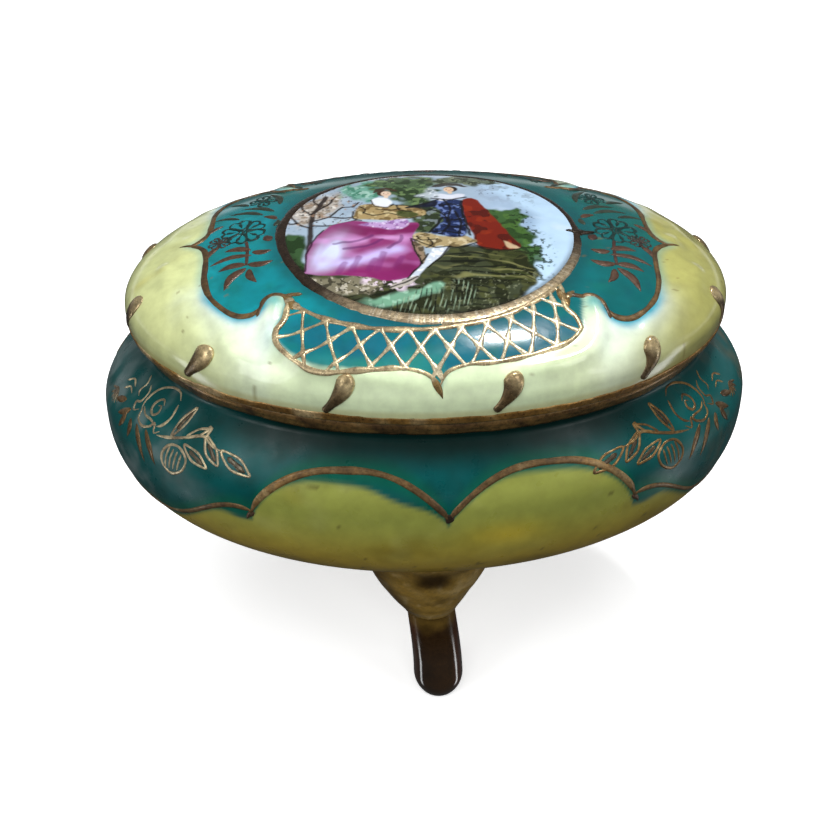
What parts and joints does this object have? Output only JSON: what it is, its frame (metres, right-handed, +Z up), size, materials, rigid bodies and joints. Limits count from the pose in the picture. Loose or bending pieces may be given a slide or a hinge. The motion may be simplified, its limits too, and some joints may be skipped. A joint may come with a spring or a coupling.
{
  "type": "porcelain trinket box",
  "caption": "Oval porcelain trinket box with a domed lift-off lid, painted panels and gilt rims, standing on three short gilt feet.",
  "frame": {"origin": "on the ground, under the middle of the oval bowl", "axes": "+X along the oval's long axis, +Z up, the single front foot on the -Y side"},
  "size_m": [0.111, 0.08, 0.082],
  "materials": {
    "painted_bowl": "glossy glaze, teal enamel above a scalloped gilt line, ochre yellow below, white inside",
    "gilded_foot": "glossy brownish gilding, a little worn",
    "painted_lid": "glossy glaze, cream-yellow moulded border, teal cartouche and a painted round picture",
    "white_porcelain": "white porcelain with a thin glaze",
    "raised_gilt": "raised touches under worn matt gilding"
  },
  "bodies": {
    "box": {"bowl": "painted_bowl", "front_foot": "gilded_foot", "rear_left_foot": "gilded_foot", "rear_right_foot": "gilded_foot"},
    "cover": {"lid": "painted_lid", "lid_locating_ring": "white_porcelain", "lid_rim_scrolls": "raised_gilt"}
  },
  "joints": [
    {"name": "lid_lift", "type": "slide", "parent": "box", "child": "cover", "axis": [0, 0, 1], "range_m": [0, 0.035]}
  ]
}
